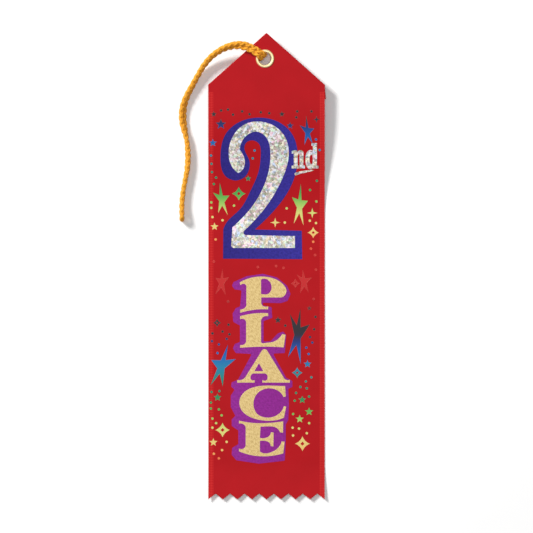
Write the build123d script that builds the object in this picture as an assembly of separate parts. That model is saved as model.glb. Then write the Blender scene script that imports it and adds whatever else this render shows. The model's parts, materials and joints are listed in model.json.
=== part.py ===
from build123d import *
import math
import os

# Award ribbon: one strip of satin folded to a point at the top, held by a brass eyelet, with a
# looped cord through the eyelet and foil stamped artwork on its face. Millimetres. The ribbon lies
# face up: +X is its right, +Y its pointed end, +Z out of its face, and z = 0 is the surface under it.

# --- driving dimensions ---
ribbon_width = 50.8
ribbon_length = 203.2
satin_thickness = 0.3
adhesive_thickness = 0.08
ink_thickness = 0.03
foil_thickness = 0.04

point_rise = 22.6            # height of the pointed end above its two shoulders
flap_drop = 6.0              # how far a folded corner reaches below the opposite shoulder
flap_overhang = 0.5          # how far the first folded corner stands out past the ribbon's edge
fold_width = 0.35            # satin taken up by a fold along a sloping edge
adhesive_inset = 2.0

pinking_teeth = 8
pinking_depth = 2.5

eyelet_x = -0.65
eyelet_below_point = 11.0
eyelet_bore_radius = 2.75
eyelet_barrel_radius = 3.05
eyelet_flange_radius = 4.0
eyelet_back_radius = 3.9
eyelet_crown = 0.5
eyelet_roll = 0.4
eyelet_clearance = 0.05

cord_diameter = 1.8
knot_radius = 3.6
knot_height = 3.8
knot_clearance = 0.3
knot_offset = 3.6            # the knot lies behind the header, this far from the eyelet's middle
knot_bearing = 139.5         # degrees, towards the side that the cord leaves by

# --- worked out from the driving dimensions ---
half_width = ribbon_width / 2
top_y = ribbon_length / 2
bottom_y = -ribbon_length / 2
shoulder_y = top_y - point_rise
eyelet_y = top_y - eyelet_below_point
layer_pitch = satin_thickness + adhesive_thickness
header_stack = 2 * layer_pitch
header_lift = knot_height + knot_clearance + eyelet_roll + header_stack
slope_top_y = shoulder_y - flap_drop - 1.0
slope_bottom_y = 20.0
slope_steps = 24
cord_radius = cord_diameter / 2

os.makedirs("parts", exist_ok=True)


def save(node, shape):
    """Write one node's solids to its STEP file."""
    export_step(shape, f"parts/{node}.step")


def outline(start, *runs):
    """Closed face: a run of one point is a straight line, a longer run is a smooth curve."""
    edges = []
    last = start
    for run in runs:
        points = [last] + list(run)
        edges.append(Line(*points) if len(points) == 2 else Spline(*points))
        last = points[-1]
    return make_face(Wire(edges))


def profile_points(offset):
    """Side view of the ribbon's underside, raised by offset: flat header, gentle slope, flat tail.

    The slope is a cosine drawn in short flat steps, so that every thin layer bends on the same lines.
    """
    points = [(top_y + 2, header_lift + offset)]
    for step in range(slope_steps + 1):
        share = step / slope_steps
        y = slope_top_y + (slope_bottom_y - slope_top_y) * share
        height = header_lift * (1 + math.cos(math.pi * share)) / 2
        points.append((y, height + offset))
    points.append((bottom_y - 2, offset))
    return points


def slab(low, high):
    """Sheet that follows the ribbon, between two heights above the ribbon's underside."""
    side = Polygon(*profile_points(low), *reversed(profile_points(high)), align=None)
    return extrude(Plane.YZ * side, amount=half_width + 2, dir=(1, 0, 0), both=True)


def layer(sketch, low, high):
    """Cut a flat outline out of a slab that follows the ribbon."""
    prism = Pos(0, 0, -1) * extrude(sketch, amount=header_lift + 3, dir=(0, 0, 1))
    return prism & slab(low, high)


# --- satin ---
def pinked_outline():
    """Front of the ribbon: pointed top, straight sides, zigzag bottom."""
    tooth = ribbon_width / pinking_teeth
    points = [(0, top_y), (half_width, shoulder_y)]
    for index in range(pinking_teeth):
        tip_x = half_width - index * tooth
        points.append((tip_x, bottom_y))
        points.append((tip_x - tooth / 2, bottom_y + pinking_depth))
    points += [(-half_width, bottom_y), (-half_width, shoulder_y)]
    return Polygon(*points, align=None)


def flap_outline(side, overhang):
    """Folded corner: side is the shoulder it is folded from, -1 left or 1 right."""
    near = (side * half_width, shoulder_y)
    far = (-side * half_width, shoulder_y)
    low = (-side * (half_width + overhang), shoulder_y - flap_drop)
    return Polygon(near, (0, top_y), far, low, align=None)


def fold_outline(side):
    """Narrow band along a sloping edge where the satin turns to the back."""
    inner = shoulder_y - fold_width
    return Polygon(
        (side * half_width, shoulder_y),
        (0, top_y),
        (0, top_y - 2 * fold_width),
        (side * (half_width - fold_width), inner),
        align=None,
    )


def eyelet_hole():
    """Hole through all the header's layers for the eyelet's barrel."""
    radius = eyelet_barrel_radius + eyelet_clearance
    return Pos(eyelet_x, eyelet_y, 0) * Cylinder(radius, 40)


def satin_ribbon():
    """The whole strip: front, two folded corners and the folds that join them."""
    front = layer(pinked_outline(), 0, satin_thickness)
    first = layer(flap_outline(-1, flap_overhang), -layer_pitch, -adhesive_thickness)
    second = layer(flap_outline(1, 0), -2 * layer_pitch, -layer_pitch - adhesive_thickness)
    first_fold = layer(fold_outline(-1), -layer_pitch, satin_thickness)
    second_fold = layer(fold_outline(1), -2 * layer_pitch, satin_thickness)
    return front + first + second + first_fold + second_fold - eyelet_hole()


def fold_adhesive(level):
    """Film of adhesive under the front (level 1) or under the first folded corner (level 2)."""
    low = shoulder_y - 0.1 * adhesive_inset
    shape = Polygon(
        (0, top_y - 1.6 * adhesive_inset),
        (half_width - 1.6 * adhesive_inset, shoulder_y),
        (half_width - 1.6 * adhesive_inset, low),
        (1.6 * adhesive_inset - half_width, low),
        (1.6 * adhesive_inset - half_width, shoulder_y),
        align=None,
    )
    high = -(level - 1) * layer_pitch
    return layer(shape, high - adhesive_thickness, high) - eyelet_hole()


# --- eyelet ---
def eyelet():
    """Rolled brass eyelet: crowned front flange, barrel and rolled back."""
    front = header_lift + satin_thickness
    back = header_lift - header_stack
    lip = 0.12
    section = outline(
        (eyelet_bore_radius, back - lip),
        [(eyelet_bore_radius, front + lip)],
        [(2.95, front + 0.42), (3.35, front + eyelet_crown), (3.8, front + 0.3),
         (eyelet_flange_radius, front)],
        [(eyelet_barrel_radius, front)],
        [(eyelet_barrel_radius, back)],
        [(eyelet_back_radius, back)],
        [(3.7, back - 0.25), (3.3, back - eyelet_roll), (2.9, back - 0.32), (eyelet_bore_radius, back - lip)],
    )
    return Pos(eyelet_x, eyelet_y, 0) * revolve(Plane.XZ * section, Axis.Z)


# --- printed artwork ---
def numeral_ink():
    """Ink shape under the big numeral, standing out all round it."""
    return outline(
        (-13.5, 37.5),
        [(-18.4, 40.0), (-20.1, 48.0), (-17.4, 58.4), (-11.2, 63.3), (-4.0, 64.9), (4.4, 63.4), (11.0, 58.0),
         (13.6, 49.0), (11.6, 37.2), (5.0, 26.4), (-5.0, 16.2)],
        [(15.4, 15.6)],
        [(15.6, 3.2)],
        [(-19.0, 3.4)],
        [(-18.9, 16.2)],
        [(-16.6, 20.3), (-11.8, 24.8), (-7.2, 32.6), (-3.6, 41.0), (-2.5, 49.0), (-3.4, 53.6), (-6.2, 55.0),
         (-9.0, 53.8), (-9.6, 51.2), (-7.6, 46.6), (-8.0, 41.2), (-13.5, 37.5)],
    )


def numeral_foil():
    """The big numeral 2."""
    return outline(
        (-12.3, 40.8),
        [(-15.4, 44.2), (-16.5, 50.0), (-14.6, 56.8), (-9.6, 61.9), (-3.2, 63.2), (4.0, 60.9), (8.6, 55.4),
         (9.7, 48.6), (7.0, 38.6), (1.4, 28.4), (-4.8, 20.6), (-9.8, 15.6)],
        [(-9.8, 14.2), (-8.2, 13.7)],
        [(12.4, 13.3)],
        [(12.4, 8.1)],
        [(-14.6, 8.1)],
        [(-15.4, 8.9)],
        [(-14.9, 17.1)],
        [(-11.4, 20.4), (-6.0, 26.6), (-1.4, 34.6), (1.2, 43.0), (1.6, 51.0), (-0.2, 56.4), (-4.4, 58.8),
         (-9.0, 56.8), (-11.2, 53.4), (-11.6, 50.8)],
        [(-9.8, 47.6), (-9.5, 44.4), (-10.6, 42.0), (-12.3, 40.8)],
    )


def ordinal_n():
    """Small letter n of the ordinal."""
    return outline(
        (11.0, 50.3),
        [(12.2, 50.7), (13.3, 50.6)],
        [(13.5, 49.6)],
        [(14.5, 50.7), (15.6, 50.5), (16.1, 49.4)],
        [(16.1, 44.2)],
        [(16.8, 44.0)],
        [(16.8, 42.8)],
        [(14.4, 42.8)],
        [(14.4, 48.4)],
        [(14.2, 49.2), (13.6, 48.4)],
        [(13.6, 44.0)],
        [(14.0, 44.0)],
        [(14.0, 42.8)],
        [(11.0, 42.8)],
        [(11.0, 44.0)],
        [(11.9, 44.0)],
        [(11.9, 49.2)],
        [(11.0, 49.2)],
        [(11.0, 50.3)],
    )


def ordinal_d():
    """Small letter d of the ordinal, with its counter."""
    body = outline(
        (19.6, 53.8),
        [(22.0, 53.8)],
        [(22.0, 44.0)],
        [(22.7, 44.0)],
        [(22.7, 42.8)],
        [(20.4, 42.8)],
        [(18.6, 42.5), (17.3, 44.2), (17.0, 46.9), (17.5, 49.6), (18.9, 50.8), (20.2, 50.4)],
        [(20.2, 52.7)],
        [(19.6, 52.7)],
        [(19.6, 53.8)],
    )
    counter = Pos(19.5, 46.7) * Ellipse(0.72, 2.1)
    return body - counter


def ordinal_underline():
    """Tapered stroke below the ordinal."""
    return outline(
        (12.6, 40.9),
        [(14.6, 41.5), (17.4, 41.9), (20.8, 42.1)],
        [(18.4, 41.3), (15.4, 40.6), (12.8, 39.7)],
        [(12.2, 40.3), (12.6, 40.9)],
    )


def lettering_ink():
    """Ink shape under the column of letters."""
    corners = [
        (-14.4, -6.8), (-8.6, -4.2), (-1.6, -3.2), (4.6, -4.8), (9.0, -8.4), (10.5, -12.0), (9.2, -15.0),
        (6.2, -16.0), (-1.7, -15.8), (-1.6, -17.0), (2.3, -17.8), (2.3, -20.2), (2.6, -22.4), (-1.3, -23.8),
        (-1.3, -32.8), (1.8, -32.6), (5.0, -29.2), (7.3, -28.4), (8.6, -30.0), (8.0, -37.8), (2.8, -38.0),
        (8.6, -48.6), (11.3, -50.0), (11.3, -52.6), (9.5, -53.4), (9.8, -60.0), (9.5, -67.0), (8.4, -69.0),
        (8.4, -76.0), (8.0, -84.8), (-3.4, -86.1), (-13.2, -84.6), (-15.2, -82.2), (-15.0, -79.2),
        (-12.3, -77.6), (-12.3, -71.6), (-15.2, -69.6), (-15.2, -66.8), (-13.6, -65.2), (-15.6, -61.4),
        (-15.6, -56.4), (-13.9, -53.8), (-15.5, -52.4), (-15.2, -50.6), (-12.4, -49.4), (-6.4, -38.2),
        (-13.4, -37.8), (-14.7, -35.8), (-13.8, -33.8), (-11.6, -33.0), (-11.6, -25.8), (-14.5, -24.2),
        (-14.8, -20.6), (-13.4, -18.2), (-11.5, -17.4), (-10.9, -10.4), (-13.9, -10.0), (-15.1, -8.4),
    ]
    return make_face(FilletPolyline(*corners, radius=0.55, close=True))


def letter_p():
    """Letter P, its top edge arched."""
    body = outline(
        (-11.6, -6.9),
        [(-7.0, -5.0), (-1.6, -4.4), (4.0, -5.6), (7.6, -8.2), (8.7, -10.8), (7.8, -12.7), (5.4, -13.5)],
        [(-2.3, -13.5)],
        [(-2.3, -16.2)],
        [(-1.6, -17.2), (0.7, -17.4)],
        [(0.7, -18.7)],
        [(-5.4, -18.9), (-11.5, -20.2)],
        [(-11.5, -18.8)],
        [(-9.6, -18.2), (-8.8, -17.0)],
        [(-8.8, -8.4)],
        [(-9.4, -7.7), (-11.5, -8.1)],
        [(-11.6, -6.9)],
    )
    counter = outline(
        (-2.4, -5.7),
        [(0.2, -5.6), (2.2, -8.6), (1.4, -11.4), (-0.8, -12.2)],
        [(-2.4, -12.0)],
        [(-2.4, -5.7)],
    )
    return body - counter


def letter_l():
    """Letter L with an upturned foot."""
    return outline(
        (-11.5, -21.7),
        [(-5.4, -20.5), (0.7, -20.4)],
        [(0.7, -21.7)],
        [(-1.4, -22.0), (-2.4, -23.4)],
        [(-2.4, -32.6)],
        [(-2.2, -33.3), (-0.4, -33.4), (3.2, -32.8), (5.8, -31.0), (6.9, -29.5)],
        [(8.3, -29.8)],
        [(7.5, -35.3)],
        [(-1.6, -35.0), (-11.5, -35.5)],
        [(-11.5, -34.3)],
        [(-9.6, -33.9), (-8.9, -32.8)],
        [(-8.9, -24.2)],
        [(-9.6, -23.1), (-11.5, -23.0)],
        [(-11.5, -21.7)],
    )


def letter_a():
    """Letter A with a thin left leg, a thick right leg and flat feet."""
    body = outline(
        (-1.9, -36.6),
        [(-0.9, -36.1), (0.2, -36.6)],
        [(7.3, -48.2)],
        [(8.2, -49.3), (10.2, -49.5)],
        [(10.2, -50.7)],
        [(-1.8, -50.7)],
        [(-1.8, -49.6)],
        [(0.3, -49.3), (0.5, -48.2), (-0.6, -46.7)],
        [(-5.9, -46.7)],
        [(-7.0, -48.2), (-6.8, -49.3), (-5.2, -49.6)],
        [(-5.2, -50.7)],
        [(-12.8, -50.7)],
        [(-12.8, -49.6)],
        [(-10.6, -49.4), (-8.9, -47.8)],
        [(-1.9, -36.6)],
    )
    counter = Polygon((-3.3, -42.2), (-1.4, -45.7), (-5.3, -45.7), align=None)
    return body - counter


def letter_c():
    """Letter C with tall beaked ends."""
    return outline(
        (8.1, -52.2),
        [(8.4, -56.8)],
        [(7.4, -57.0)],
        [(5.0, -54.2), (1.2, -53.2), (-3.6, -55.0), (-5.7, -60.0), (-4.0, -64.4), (0.2, -66.0), (4.8, -64.8),
         (7.6, -61.0)],
        [(8.6, -61.2)],
        [(7.6, -66.0)],
        [(4.2, -67.1), (-0.6, -67.3), (-7.4, -65.6), (-11.2, -62.2), (-11.8, -58.6), (-9.6, -54.8),
         (-4.6, -52.5), (1.2, -52.0), (8.1, -52.2)],
    )


def letter_e():
    """Letter E, its lower edge arched."""
    return outline(
        (-12.0, -67.3),
        [(-4.6, -68.4), (1.6, -68.3), (7.3, -67.6)],
        [(7.2, -72.6)],
        [(5.9, -72.4)],
        [(4.0, -70.3), (0.4, -69.8), (-2.6, -69.9)],
        [(-2.9, -74.8)],
        [(-0.2, -74.8), (1.4, -73.8), (1.9, -72.4)],
        [(3.1, -72.5)],
        [(3.0, -78.6)],
        [(1.8, -78.4)],
        [(1.2, -76.9), (-0.2, -76.2), (-2.9, -76.2)],
        [(-2.9, -80.8)],
        [(-1.0, -81.6), (2.6, -80.9), (5.6, -78.6), (6.6, -76.4)],
        [(7.9, -76.5)],
        [(7.3, -81.6)],
        [(1.0, -82.8), (-4.6, -82.7), (-12.0, -80.7)],
        [(-12.0, -79.5)],
        [(-10.0, -79.5), (-9.1, -78.2)],
        [(-9.1, -70.2)],
        [(-10.0, -68.9), (-12.0, -68.6)],
        [(-12.0, -67.3)],
    )


# --- small foil shapes ---
def star(x, y, radius, tips=5, waist=0.44):
    """Regular star with one tip up."""
    points = []
    for index in range(2 * tips):
        reach = radius if index % 2 == 0 else radius * waist
        angle = math.pi / 2 + index * math.pi / tips
        points.append((x + reach * math.cos(angle), y + reach * math.sin(angle)))
    return Polygon(*points, align=None)


def stretched_star(tips, waist=0.4):
    """Five tips drawn out by hand, with the notches between them pulled to the middle."""
    centre_x = sum(x for x, _ in tips) / len(tips)
    centre_y = sum(y for _, y in tips[:3]) / 3 - 1.0
    points = []
    for index, (x, y) in enumerate(tips):
        next_x, next_y = tips[(index + 1) % len(tips)]
        mid_x = (x + next_x) / 2
        mid_y = (y + next_y) / 2
        points.append((x, y))
        points.append((centre_x + (mid_x - centre_x) * waist, centre_y + (mid_y - centre_y) * waist))
    return Polygon(*points, align=None)


def sparkle(x, y, radius):
    """Thin four-tipped star."""
    return star(x, y, radius, tips=4, waist=0.3)


def diamond(x, y, radius, waist=0.54, hole=0.27):
    """Diamond with hollow sides and a small diamond hole."""
    middle = radius * waist / math.sqrt(2)
    body = outline(
        (x, y + radius),
        [(x + middle, y + middle), (x + radius, y)],
        [(x + middle, y - middle), (x, y - radius)],
        [(x - middle, y - middle), (x - radius, y)],
        [(x - middle, y + middle), (x, y + radius)],
    )
    return body - star(x, y, radius * hole, tips=4, waist=0.7)


long_stars = [
    [(17.3, 65.6), (20.9, 60.2), (20.2, 53.4), (16.5, 53.0), (14.4, 61.6)],
    [(-20.4, 36.6), (-16.2, 31.0), (-16.9, 22.4), (-21.1, 23.4), (-23.4, 32.3)],
    [(15.0, 36.2), (18.1, 28.7), (16.2, 17.8), (11.9, 18.6), (11.1, 30.3)],
    [(14.8, -18.3), (18.9, -25.3), (14.9, -42.6), (9.4, -39.6), (10.2, -20.7)],
    [(-16.8, -34.0), (-13.4, -40.4), (-19.1, -52.4), (-24.5, -52.0), (-24.2, -40.8)],
    [(15.8, -1.2), (19.8, -4.8), (18.4, -11.4), (14.6, -11.8), (13.2, -3.4)],
    [(-19.2, -0.8), (-16.4, -4.6), (-17.8, -12.6), (-22.4, -12.2), (-22.2, -5.0)],
]
small_stars = [
    (-23.0, 66.4, 1.3), (-19.9, 62.0, 2.4), (6.7, 66.4, 1.3), (10.3, 61.4, 1.6), (-23.4, 53.9, 1.8),
    (-8.0, 38.4, 1.4), (-22.7, 17.4, 1.8), (5.0, -23.4, 1.6), (18.7, -18.2, 1.1), (17.9, -42.6, 1.8),
    (-21.4, -57.2, 1.8), (15.6, -58.2, 1.8), (18.6, -63.4, 1.9), (14.5, -66.6, 1.9), (-23.2, -76.8, 1.9),
]
diamonds = [
    (-12.1, 31.8, 3.0), (20.4, 14.8, 2.5), (12.6, -7.4, 2.0), (-21.6, -24.6, 1.8), (13.4, -46.4, 2.4),
    (-19.2, -71.4, 3.2), (15.7, -77.4, 3.3),
]
sparkles = [(21.8, 64.1, 1.5), (3.8, 19.2, 2.2), (20.0, 23.4, 2.3)]
dots = [
    (-19.8, 68.0), (-16.8, 68.4), (-14.6, 66.2), (-10.6, 67.6), (-7.4, 66.4), (-2.5, 67.2), (1.2, 66.8),
    (13.4, 67.6), (13.0, 65.0), (19.6, 67.6), (21.6, 55.4), (23.2, 50.8), (-6.0, 47.2), (-5.2, 50.6),
    (-24.2, 48.4), (-24.0, 44.8), (-23.8, 41.2), (-22.0, 38.8), (-23.0, 36.0), (22.0, 37.4), (19.0, 33.4),
    (-24.1, 28.0), (-24.1, 25.6), (-23.6, 21.6), (-14.2, 26.6), (-19.2, 20.2), (8.8, 25.4), (8.0, 19.2),
    (21.8, 28.4), (18.9, 20.0), (21.6, 19.0), (-22.2, 11.8), (20.4, 10.8), (19.4, 7.8), (21.2, 5.0),
    (-23.0, 2.2), (-3.8, -0.2), (4.2, 0.2), (7.4, -0.6), (21.6, -1.4), (20.6, -14.2), (-16.8, -15.2),
    (-16.6, -25.4), (-19.2, -28.4), (-23.6, -29.2), (-16.2, -29.6), (-17.4, -31.6), (-23.8, -32.6),
    (-20.8, -34.0), (-21.4, -37.8), (-20.6, -54.4), (-24.0, -54.8), (-24.3, -59.4), (-24.3, -62.0),
    (-20.8, -62.4), (-19.6, -65.0), (-23.6, -66.4), (-22.0, -68.4), (-23.6, -70.4), (-17.4, -76.6),
    (-19.4, -80.2), (-23.0, -81.8), (-20.8, -83.8), (8.2, -25.8), (21.4, -22.0), (20.8, -27.4), (19.0, -30.8),
    (20.0, -33.2), (17.4, -35.4), (18.4, -38.2), (19.6, -48.4), (17.2, -50.2), (14.8, -52.6), (17.6, -53.2),
    (12.9, -55.2), (12.3, -58.6), (18.6, -56.8), (11.6, -64.4), (18.6, -68.4), (11.4, -70.4), (14.2, -70.8),
    (11.6, -73.8), (17.6, -72.8),
]
dot_radius = 0.55

ink_low = satin_thickness
ink_high = ink_low + ink_thickness


def on_satin(sketches):
    """Foil shapes stamped straight on the satin, each its own solid."""
    solids = []
    for sketch in sketches:
        solids += layer(sketch, ink_low, ink_low + foil_thickness).solids()
    return Compound(solids)


def on_ink(sketch):
    """Foil stamped on an ink shape."""
    return layer(sketch, ink_high, ink_high + foil_thickness)


def ink(sketch):
    """Ink printed on the satin."""
    return layer(sketch, ink_low, ink_high)


# --- cord ---
# One cord goes out of the eyelet, lies beside the ribbon, turns back at its far end and returns on
# top of itself to the eyelet. The first leg is the lower one. A point is (x, y, z).
cord_route = [
    (-2.28, 90.72, 3.8), (-2.28, 90.72, 7.5), (-5.3, 93.35, 7.5), (-9.6, 95.4, 7.4), (-14.4, 95.9, 6.9),
    (-19.3, 94.5, 5.4), (-23.9, 91.4, 3.8), (-27.2, 87.6, 2.4), (-29.9, 83.2, 1.4), (-32.5, 78.2, 0.9),
    (-35.2, 72.6, 0.9), (-36.1, 67.2, 0.9), (-35.8, 61.6, 0.9), (-34.8, 55.8, 0.9), (-34.5, 49.5, 0.9),
    (-34.6, 43.4, 0.9), (-35.6, 37.4, 0.9), (-36.7, 31.6, 0.9), (-37.1, 26.6, 0.9), (-37.0, 22.8, 0.9),
    (-36.9, 19.7, 1.0), (-36.9, 19.7, 4.4), (-36.9, 22.8, 4.2), (-36.9, 27.2, 3.0), (-36.5, 32.0, 2.72),
    (-35.5, 37.6, 2.74), (-34.2, 43.5, 2.72), (-34.0, 49.6, 2.72), (-34.9, 56.0, 2.74), (-37.0, 61.8, 2.34),
    (-37.4, 67.6, 2.3), (-35.9, 73.2, 2.6), (-32.8, 78.7, 2.74), (-30.1, 83.5, 3.2), (-27.5, 88.0, 4.2),
    (-24.2, 91.9, 5.6), (-19.5, 95.2, 7.15), (-14.5, 97.1, 8.35), (-9.3, 97.2, 8.2), (-4.3, 94.7, 7.5),
    (-0.84, 92.2, 7.5), (-0.84, 92.2, 3.8),
]


def corner_radii(points):
    """Largest smooth arc for each corner of a route: 0.45 of the shorter run over tan(half turn)."""
    radii = []
    for before, corner, after in zip(points, points[1:], points[2:]):
        arrive = Vector(*corner) - Vector(*before)
        leave = Vector(*after) - Vector(*corner)
        turn = arrive.get_angle(leave)
        run = min(arrive.length, leave.length)
        radii.append(0.45 * run / math.tan(math.radians(turn) / 2))
    return radii


def cord_tube(points, label):
    """Round tube along a route of straight runs joined by tangent arcs."""
    radii = corner_radii(points)
    path = FilletPolyline(*points, radius=radii)
    start = Plane(origin=path @ 0, z_dir=path % 0)
    tube = sweep(start * Circle(cord_radius), path=path)
    expected = math.pi * cord_radius**2 * path.length
    print(label, "radii", [round(radius, 1) for radius in radii])
    print(label, "length", round(path.length, 1))
    print(label, "volume", round(tube.volume, 1), "section times length", round(expected, 1))
    return tube


def stopper_knot():
    """Body of the overhand knot that stops the cord behind the header."""
    section = outline(
        (0, 0),
        [(2.6, 0)],
        [(3.3, 0.6), (knot_radius, knot_height / 2), (3.5, 3.2), (3.4, knot_height)],
        [(0, knot_height)],
        [(0, 0)],
    )
    bearing = math.radians(knot_bearing)
    x = eyelet_x + knot_offset * math.cos(bearing)
    y = eyelet_y + knot_offset * math.sin(bearing)
    return Pos(x, y, 0) * revolve(Plane.XZ * section, Axis.Z)


def cord_tails():
    """Two short ends that come out of the knot and lie under the header."""
    routes = [
        [(-6.4, 91.4, 0.95), (-9.2, 89.6, 0.95), (-11.4, 87.0, 0.95), (-12.2, 84.0, 0.95)],
        [(-5.0, 90.0, 0.95), (-6.8, 87.6, 0.95), (-7.6, 84.6, 0.95), (-7.0, 81.8, 0.95)],
    ]
    knot = stopper_knot()
    tails = [cord_tube(route, "tail") - knot for route in routes]
    return Compound([tail.solids()[0] for tail in tails])


nodes = {
    "satin_ribbon": satin_ribbon(),
    "first_fold_adhesive": fold_adhesive(1),
    "second_fold_adhesive": fold_adhesive(2),
    "eyelet": eyelet(),
    "numeral_ink_border": ink(numeral_ink()),
    "numeral_foil": on_ink(numeral_foil()),
    "ordinal_n_foil": on_ink(ordinal_n()),
    "ordinal_d_foil": on_ink(ordinal_d()),
    "ordinal_underline_foil": on_ink(ordinal_underline()),
    "lettering_ink_border": ink(lettering_ink()),
    "letter_p_foil": on_ink(letter_p()),
    "letter_l_foil": on_ink(letter_l()),
    "letter_a_foil": on_ink(letter_a()),
    "letter_c_foil": on_ink(letter_c()),
    "letter_e_foil": on_ink(letter_e()),
    "long_star_foils": on_satin(stretched_star(tips) for tips in long_stars),
    "small_star_foils": on_satin(star(*place) for place in small_stars),
    "diamond_foils": on_satin(diamond(*place) for place in diamonds),
    "sparkle_foils": on_satin(sparkle(*place) for place in sparkles),
    "dot_foils": on_satin(Pos(*place) * Circle(dot_radius) for place in dots),
    "cord_loop": cord_tube(cord_route, "cord"),
    "stopper_knot": stopper_knot(),
    "cord_tails": cord_tails(),
}

for node, shape in nodes.items():
    save(node, shape)
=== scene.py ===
"""Looks of a satin award ribbon: cloth, eyelet, cord, ink and foil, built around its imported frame."""

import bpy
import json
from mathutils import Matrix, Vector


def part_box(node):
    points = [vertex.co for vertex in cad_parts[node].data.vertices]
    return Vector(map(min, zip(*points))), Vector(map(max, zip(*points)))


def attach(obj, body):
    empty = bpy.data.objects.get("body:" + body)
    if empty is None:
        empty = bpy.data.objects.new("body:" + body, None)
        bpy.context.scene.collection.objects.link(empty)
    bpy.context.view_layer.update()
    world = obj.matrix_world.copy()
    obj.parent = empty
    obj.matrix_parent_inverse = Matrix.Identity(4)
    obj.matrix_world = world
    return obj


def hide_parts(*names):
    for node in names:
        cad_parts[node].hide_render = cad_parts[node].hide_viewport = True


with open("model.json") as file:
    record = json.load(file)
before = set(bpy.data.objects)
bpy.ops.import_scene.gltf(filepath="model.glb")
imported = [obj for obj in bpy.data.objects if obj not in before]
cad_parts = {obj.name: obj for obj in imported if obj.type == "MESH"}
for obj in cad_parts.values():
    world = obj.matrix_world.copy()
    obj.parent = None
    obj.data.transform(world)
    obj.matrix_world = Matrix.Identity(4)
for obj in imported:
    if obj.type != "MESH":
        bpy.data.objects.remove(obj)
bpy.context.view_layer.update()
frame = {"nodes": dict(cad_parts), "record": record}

import json
import logging
import math
import random
from dataclasses import dataclass
from enum import Enum
from typing import Iterable, Optional, Sequence, Union

import bmesh
import bpy
import numpy as np
from mathutils import Vector

MM = 0.001
TURN = 2 * math.pi
CREASE = math.radians(50)
UPRIGHT = 0.9
EYELET_MIDDLE = (-0.65, 90.6)
PLY_MAP = "ply"
MIX_SHARE, MIX_FIRST, MIX_SECOND, MIX_RESULT = 0, 6, 7, 2
LOG = logging.getLogger("award_ribbon")

Colour = tuple[float, float, float]
Point = tuple[float, float, float]
Scale = tuple[tuple[float, Colour], ...]
Face = Sequence[int]
Number = Union[int, float]
Operand = Union["Wire", Number]


class Body(Enum):
    """Rigid bodies of the frame."""

    RIBBON = "ribbon"
    CORD = "hang_cord"


class Slot(Enum):
    """Material slots of the record."""

    SATIN = "red_satin"
    ADHESIVE = "adhesive_film"
    BRASS = "eyelet_brass"
    BLUE_INK = "blue_ink"
    SILVER = "silver_foil"
    PURPLE_INK = "purple_ink"
    GOLD = "gold_foil"
    RAINBOW = "rainbow_foil"
    CORD = "gold_cord"


def tone(red: Number, green: Number, blue: Number) -> Colour:
    """Turn a display colour of 0 to 255 into linear light."""
    shares = (red / 255, green / 255, blue / 255)
    return tuple(((share + 0.055) / 1.055) ** 2.4 if share > 0.04045 else share / 12.92 for share in shares)


# --- shader tools


class Wire:
    """A shader socket that takes part in arithmetic."""

    def __init__(self, graph: "Graph", socket: Optional[bpy.types.NodeSocket]) -> None:
        """Keep the graph and the output socket."""
        self.graph = graph
        self.socket = socket

    def math(self, operation: str, *others: Operand, swap: bool = False) -> "Wire":
        """Add one Math node.

        Args:
            operation: the Math node's operation.
            others: the other operands.
            swap: put this value second.

        Returns:
            The node's result.
        """
        operands = [self, *others]
        if swap:
            operands.reverse()
        return self.graph.node("ShaderNodeMath", {"operation": operation}, dict(enumerate(operands)))

    def __add__(self, other: Operand) -> "Wire":
        """Sum."""
        return self.math("ADD", other)

    __radd__ = __add__

    def __mul__(self, other: Operand) -> "Wire":
        """Product."""
        return self.math("MULTIPLY", other)

    def __sub__(self, other: Operand) -> "Wire":
        """Difference."""
        return self.math("SUBTRACT", other)

    def __rsub__(self, other: Number) -> "Wire":
        """Difference from a number."""
        return self.math("SUBTRACT", other, swap=True)

    def __truediv__(self, other: Operand) -> "Wire":
        """Quotient."""
        return self.math("DIVIDE", other)

    def __gt__(self, other: Number) -> "Wire":
        """One where this is greater."""
        return self.math("GREATER_THAN", other)

    def __lt__(self, other: Number) -> "Wire":
        """One where this is smaller."""
        return self.math("LESS_THAN", other)

    def __abs__(self) -> "Wire":
        """Size without sign."""
        return self.math("ABSOLUTE")

    def wave(self) -> "Wire":
        """Sine mapped to 0..1."""
        return self.math("SINE") * 0.5 + 0.5

    def waves(self, per_mm: float) -> "Wire":
        """So many waves to each millimetre of this value, 0..1."""
        return (self * (TURN * per_mm)).wave()

    def output(self, name: str) -> "Wire":
        """Another output of the same node."""
        return Wire(self.graph, self.socket.node.outputs[name])

    def fraction(self) -> "Wire":
        """Part after the decimal point."""
        return self.math("FRACT")

    def clamp(self) -> "Wire":
        """Limit to 0..1."""
        return self.math("MAXIMUM", 0.0).math("MINIMUM", 1.0)


Input = Union[Wire, Number, Sequence[float]]


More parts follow.
